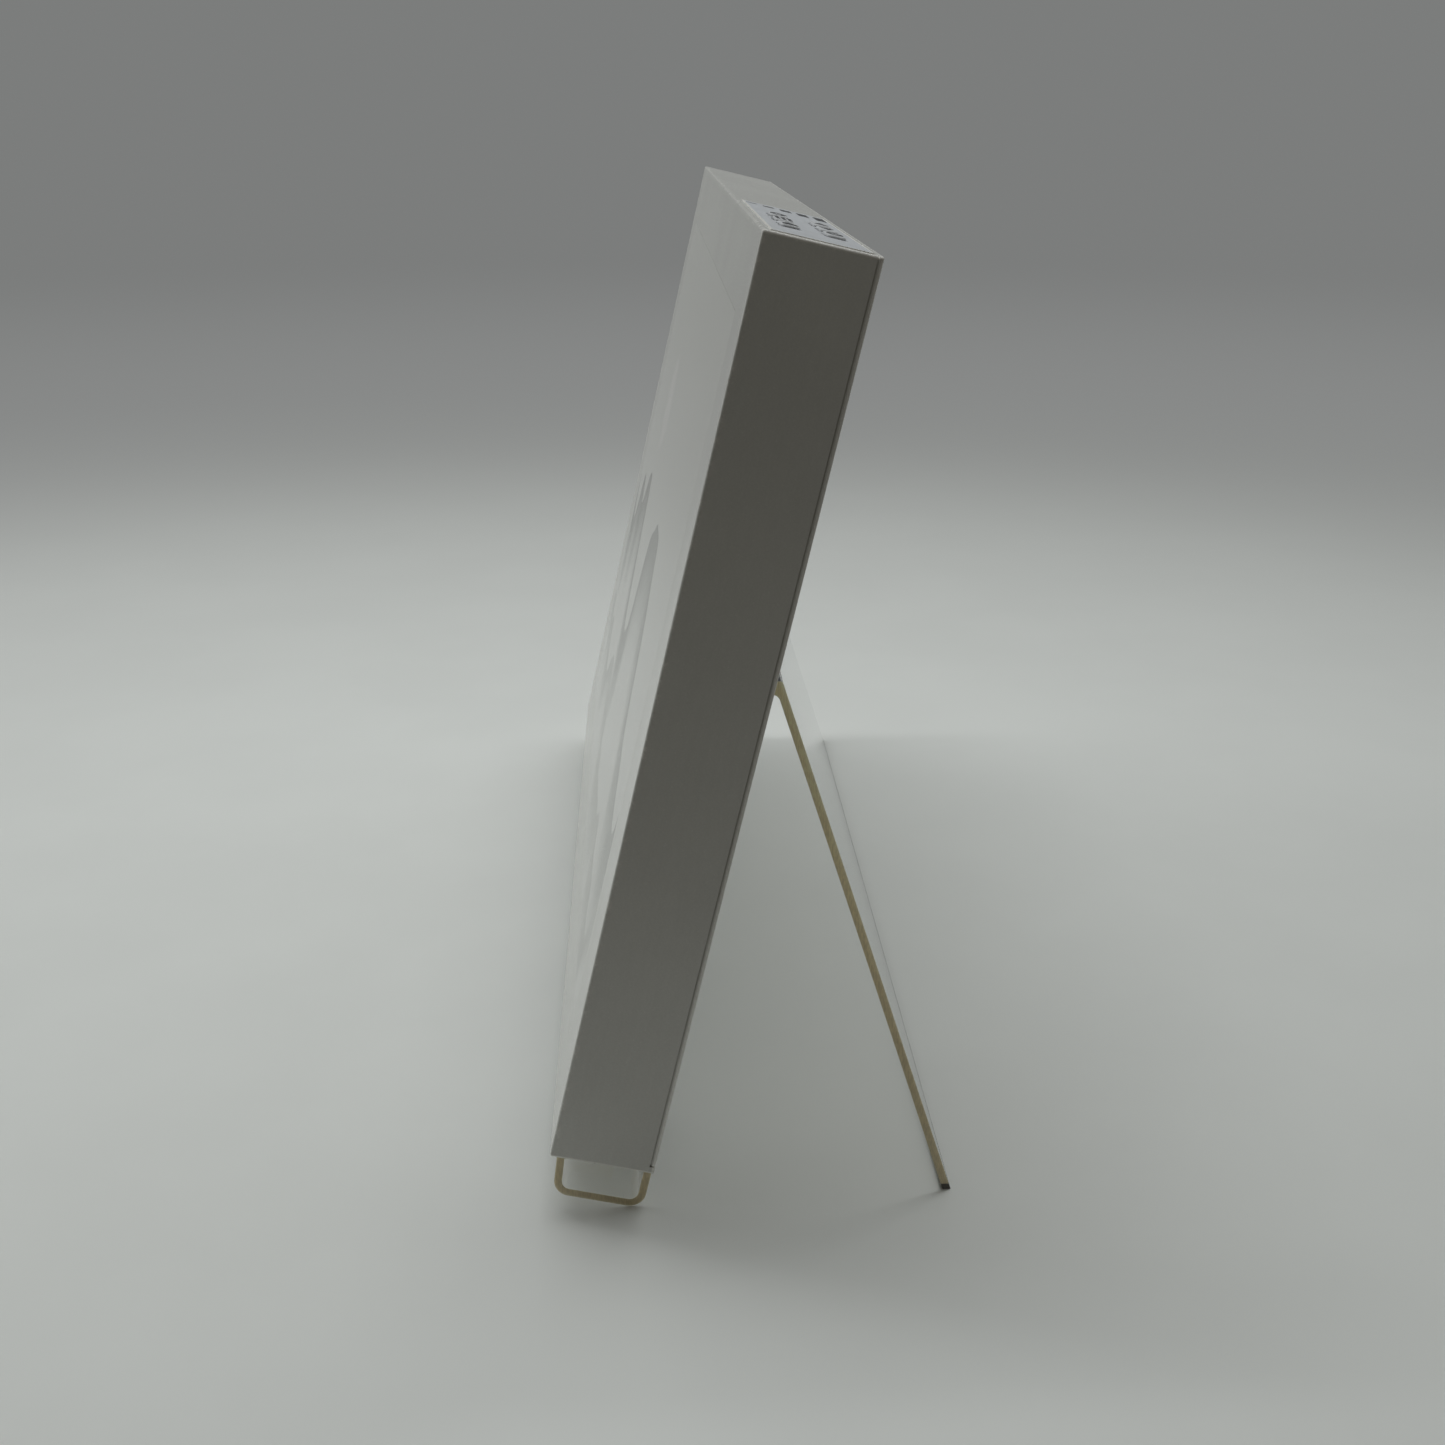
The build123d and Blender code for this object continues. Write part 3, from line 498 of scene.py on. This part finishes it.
def pad_rubber():
    """Dark matt rubber of the leg's pad."""
    colour = (0.10, 0.095, 0.085)
    return grained("pad_rubber", colour, (0.15, 0.14, 0.125), size=0.3, relief=0.03, rough=0.8)


def symbol_paint():
    """Dark paint of the symbols on the keys."""
    return grained("symbol_paint", print_dark, print_spots, size=0.15, relief=0.006, rough=0.55)


# Finishes of the fasteners and the inner pieces

def screw_steel():
    """Bright turned steel."""
    look = {"size": 0.25, "relief": 0.006, "rough": 0.34, "metal": 1.0}
    return grained("screw_steel", (0.46, 0.46, 0.46), (0.58, 0.57, 0.55), **look)


def sheet_steel():
    """Rolled steel, with its grain drawn out sideways."""
    look = {"size": 0.3, "relief": 0.004, "rough": 0.38, "metal": 1.0, "stretch": (0.05, 1.0, 1.0)}
    return grained("sheet_steel", (0.50, 0.50, 0.51), (0.60, 0.60, 0.60), **look)


def standoff_brass():
    """Turned brass."""
    look = {"size": 0.3, "relief": 0.005, "rough": 0.35, "metal": 1.0}
    return grained("standoff_brass", (0.66, 0.48, 0.20), (0.74, 0.56, 0.27), **look)


def dark_moulding():
    """Near-black moulded plastic of sockets, switches and speakers."""
    colour = (0.030, 0.030, 0.032)
    return grained("dark_moulding", colour, (0.045, 0.045, 0.048), size=0.3, relief=0.01, rough=0.55)


def gasket_foam():
    """Black foam."""
    colour = (0.028, 0.028, 0.028)
    return grained("gasket_foam", colour, (0.05, 0.05, 0.05), size=0.4, relief=0.08, rough=0.9)


def cell_glass():
    """Dark glass of the liquid-crystal cell."""
    colour = (0.055, 0.06, 0.065)
    return grained("cell_glass", colour, (0.065, 0.07, 0.075), size=0.3, relief=0.001, rough=0.2)


def diffuser_film():
    """Milky matt film."""
    colour = (0.80, 0.80, 0.79)
    return grained("diffuser_film", colour, (0.84, 0.84, 0.83), size=0.2, relief=0.004, rough=0.7)


def guide_plastic():
    """Pale smooth plastic of the light guide."""
    colour = (0.72, 0.76, 0.78)
    return grained("guide_plastic", colour, (0.78, 0.80, 0.81), size=0.6, relief=0.002, rough=0.25)


def led_parts():
    """Yellowish bar of small lamps."""
    colour = (0.78, 0.74, 0.50)
    return grained("led_parts", colour, (0.84, 0.82, 0.62), size=0.8, relief=0.01, rough=0.5)


def board_laminate():
    """Green lacquered board."""
    colour = (0.03, 0.13, 0.06)
    return grained("board_laminate", colour, (0.04, 0.17, 0.08), size=0.5, relief=0.01, rough=0.45)


def flex_film():
    """Amber film of the flat cables."""
    colour = (0.42, 0.22, 0.05)
    return grained("flex_film", colour, (0.50, 0.28, 0.08), size=0.4, relief=0.004, rough=0.4)


def lead_sleeve():
    """Dark red sleeve of the speaker leads."""
    colour = (0.30, 0.03, 0.03)
    return grained("lead_sleeve", colour, (0.36, 0.05, 0.04), size=0.4, relief=0.006, rough=0.45)


finishes = {
    "white_casing": white_casing(),
    "pale_overlay": control_film(),
    "key_plastic": key_plastic(),
    "clear_sheet": clear_sheet(),
    "lens_plastic": screen_picture(),
    "pad_rubber": pad_rubber(),
    "gasket_foam": gasket_foam(),
    "cell_glass": cell_glass(),
    "diffuser_film": diffuser_film(),
    "guide_plastic": guide_plastic(),
    "led_parts": led_parts(),
    "sheet_steel": sheet_steel(),
    "screw_steel": screw_steel(),
    "standoff_brass": standoff_brass(),
    "board_laminate": board_laminate(),
    "dark_moulding": dark_moulding(),
    "flex_film": flex_film(),
    "lead_sleeve": lead_sleeve(),
}
for part in frame["record"]["subparts"]:
    solid = frame["nodes"][part["node"]]
    solid.data.materials.clear()
    solid.data.materials.append(finishes[part["material_slot"]])


# New objects

def add_object(name, data):
    """Put a new object into the scene."""
    made = bpy.data.objects.new(name, data)
    bpy.context.scene.collection.objects.link(made)
    return made


def add_mesh(name, mesh, material):
    """Put a finished mesh into the scene, with its material."""
    data = bpy.data.meshes.new(name)
    mesh.to_mesh(data)
    mesh.free()
    made = add_object(name, data)
    data.materials.append(material)
    return made


# Symbols printed on the keys

def bar(across, along, width, depth):
    """Outline of a bar about a point."""
    left, right = across - width / 2, across + width / 2
    near, far = along - depth / 2, along + depth / 2
    return [(left, near), (right, near), (right, far), (left, far)]


def arrow(side):
    """Outline of an arrow head that points to one side."""
    return [(arrow_tip * side, 0.0), (arrow_tail * side, arrow_half), (arrow_tail * side, -arrow_half)]


def arc(radius, line, start, end):
    """Outlines of the pieces of a ring from one angle to another, in degrees."""
    turns = [radians(start + (end - start) * i / arc_steps) for i in range(arc_steps + 1)]
    inner = [(radius * cos(a), radius * sin(a)) for a in turns]
    outer = [((radius + line) * cos(a), (radius + line) * sin(a)) for a in turns]
    return [[inner[i], outer[i], outer[i + 1], inner[i + 1]] for i in range(arc_steps)]


power_ring = arc(radius=0.66, line=0.42, start=130, end=410)
power_stroke = bar(across=0.0, along=0.75, width=0.36, depth=0.8)
symbols = {
    "power": power_ring + [power_stroke],
    "menu": [bar(across=0.0, along=place, width=2.4, depth=0.48) for place in (-0.8, 0.0, 0.8)],
    "back": [arrow(-1), bar(across=1.15, along=0.0, width=0.42, depth=1.9)],
    "left": [arrow(-1)],
    "right": [arrow(1)],
    "ok": arc(radius=0.6, line=0.45, start=0, end=360),
}
symbol_finish = symbol_paint()


def key_symbol(name, outlines):
    """The symbol of one key as a thin print on the key's top."""
    key = "key_" + name
    low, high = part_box(key)
    front, rear = reach(key, back)
    middle = sideways * (low.x + high.x) / 2 + back * (front + rear) / 2
    top = middle + up * reach(key, up)[1]
    wide, deep = [factor * MM for factor in symbol_stretch]
    mesh = bmesh.new()
    for outline in outlines:
        mesh.faces.new([mesh.verts.new(top + sideways * x * wide + back * d * deep) for x, d in outline])
    bmesh.ops.remove_doubles(mesh, verts=mesh.verts, dist=weld_gap * MM)
    raised = bmesh.ops.extrude_face_region(mesh, geom=mesh.faces[:])["geom"]
    lifted = [item for item in raised if isinstance(item, bmesh.types.BMVert)]
    bmesh.ops.translate(mesh, verts=lifted, vec=up * (symbol_height * MM))
    bmesh.ops.recalc_face_normals(mesh, faces=mesh.faces)
    print_piece = add_mesh("symbol_" + name, mesh, symbol_finish)
    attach(print_piece, key)


for name, outlines in symbols.items():
    key_symbol(name, outlines)


# Floor, backdrop and light

def stage_grey():
    """Pale floor that goes over into the backdrop's grey, and is dim for bounced light near the camera."""
    f = Finish("stage_grey")
    radius = f.node("ShaderNodeVectorMath", {0: f.place()}, operation="LENGTH").outputs["Value"]
    cloud = f.noise(f.millimetres(), size=60.0, detail=3.0)
    near = f.scale(floor_pale, f.vary(cloud, 0.985, 1.01))
    colour = f.mix(f.smooth(radius, floor_near, floor_far), near, floor_dark)
    camera_side = f.smooth(f.split(f.place())["X"], dim_near, dim_far)
    f.set(Base_Color=f.mix(f.times(camera_side, f.minus(1.0, f.looked_at())), colour, floor_dim))
    f.set(Roughness=0.8)
    f.set(Specular_IOR_Level=0.1)
    grey = f.mix(f.smooth(radius, backdrop_near, stage_radius / 2), backdrop_low, backdrop_high)
    glow = f.node("ShaderNodeEmission", {"Color": grey}).outputs["Emission"]
    far = f.times(f.smooth(radius, backdrop_near, backdrop_far), f.looked_at())
    f.show(f.blend(far, f.shader.outputs["BSDF"], glow))
    return f.material


def make_floor():
    """Round floor that reaches out to the backdrop."""
    mesh = bmesh.new()
    bmesh.ops.create_circle(mesh, cap_ends=True, segments=stage_sides, radius=stage_radius)
    floor = add_mesh("floor", mesh, stage_grey())


def make_world():
    """A bright tent beyond the object and a dim room before it, shown as the backdrop's grey."""
    world = bpy.data.worlds.new("room")
    bpy.context.scene.world = world
    world.use_nodes = True
    n = Nodes(world.node_tree)
    towards = n.split(n.node("ShaderNodeTexCoord", {}).outputs["Generated"])["X"]
    colour = n.mix(n.smooth(towards, tent_front, tent_back), room_light, tent_light)
    light = n.node("ShaderNodeBackground", {"Color": colour}).outputs["Background"]
    shown = n.node("ShaderNodeBackground", {"Color": backdrop_high}).outputs["Background"]
    surface = n.blend(n.looked_at(), light, shown)
    n.feed(n.tree.nodes["World Output"].inputs["Surface"], surface)


def aim(thing, spot, ahead):
    """Put a lamp or the camera at a spot, looking ahead."""
    thing.location = spot
    thing.rotation_mode = "QUATERNION"
    thing.rotation_quaternion = ahead.to_track_quat("-Z", "Y")


def softbox(name, spot, target, width, length, power):
    """Rectangular soft light that faces a target."""
    data = bpy.data.lights.new(name, "AREA")
    data.shape = "RECTANGLE"
    data.size = width
    data.size_y = length
    data.energy = power
    data.color = lamp_tint
    lamp = add_object(name, data)
    lamp.visible_camera = False
    aim(lamp, spot, Vector(target) - Vector(spot))


def make_camera():
    """Camera at the photograph's viewing angle."""
    data = bpy.data.cameras.new("camera")
    data.lens = camera_lens
    data.sensor_width = camera_sensor
    data.clip_start = camera_near
    camera = add_object("camera", data)
    flat = cos(camera_pitch)
    ahead = Vector((-cos(camera_turn) * flat, sin(camera_turn) * flat, -sin(camera_pitch)))
    aim(camera, camera_spot, ahead)
    bpy.context.scene.camera = camera


make_floor()
make_world()
softbox("top_strip", strip_spot, strip_target, strip_width, strip_length, strip_power)
softbox("left_softbox", square_spot, square_target, square_side, square_side, square_power)
make_camera()
bpy.context.scene.view_settings.view_transform = "Standard"
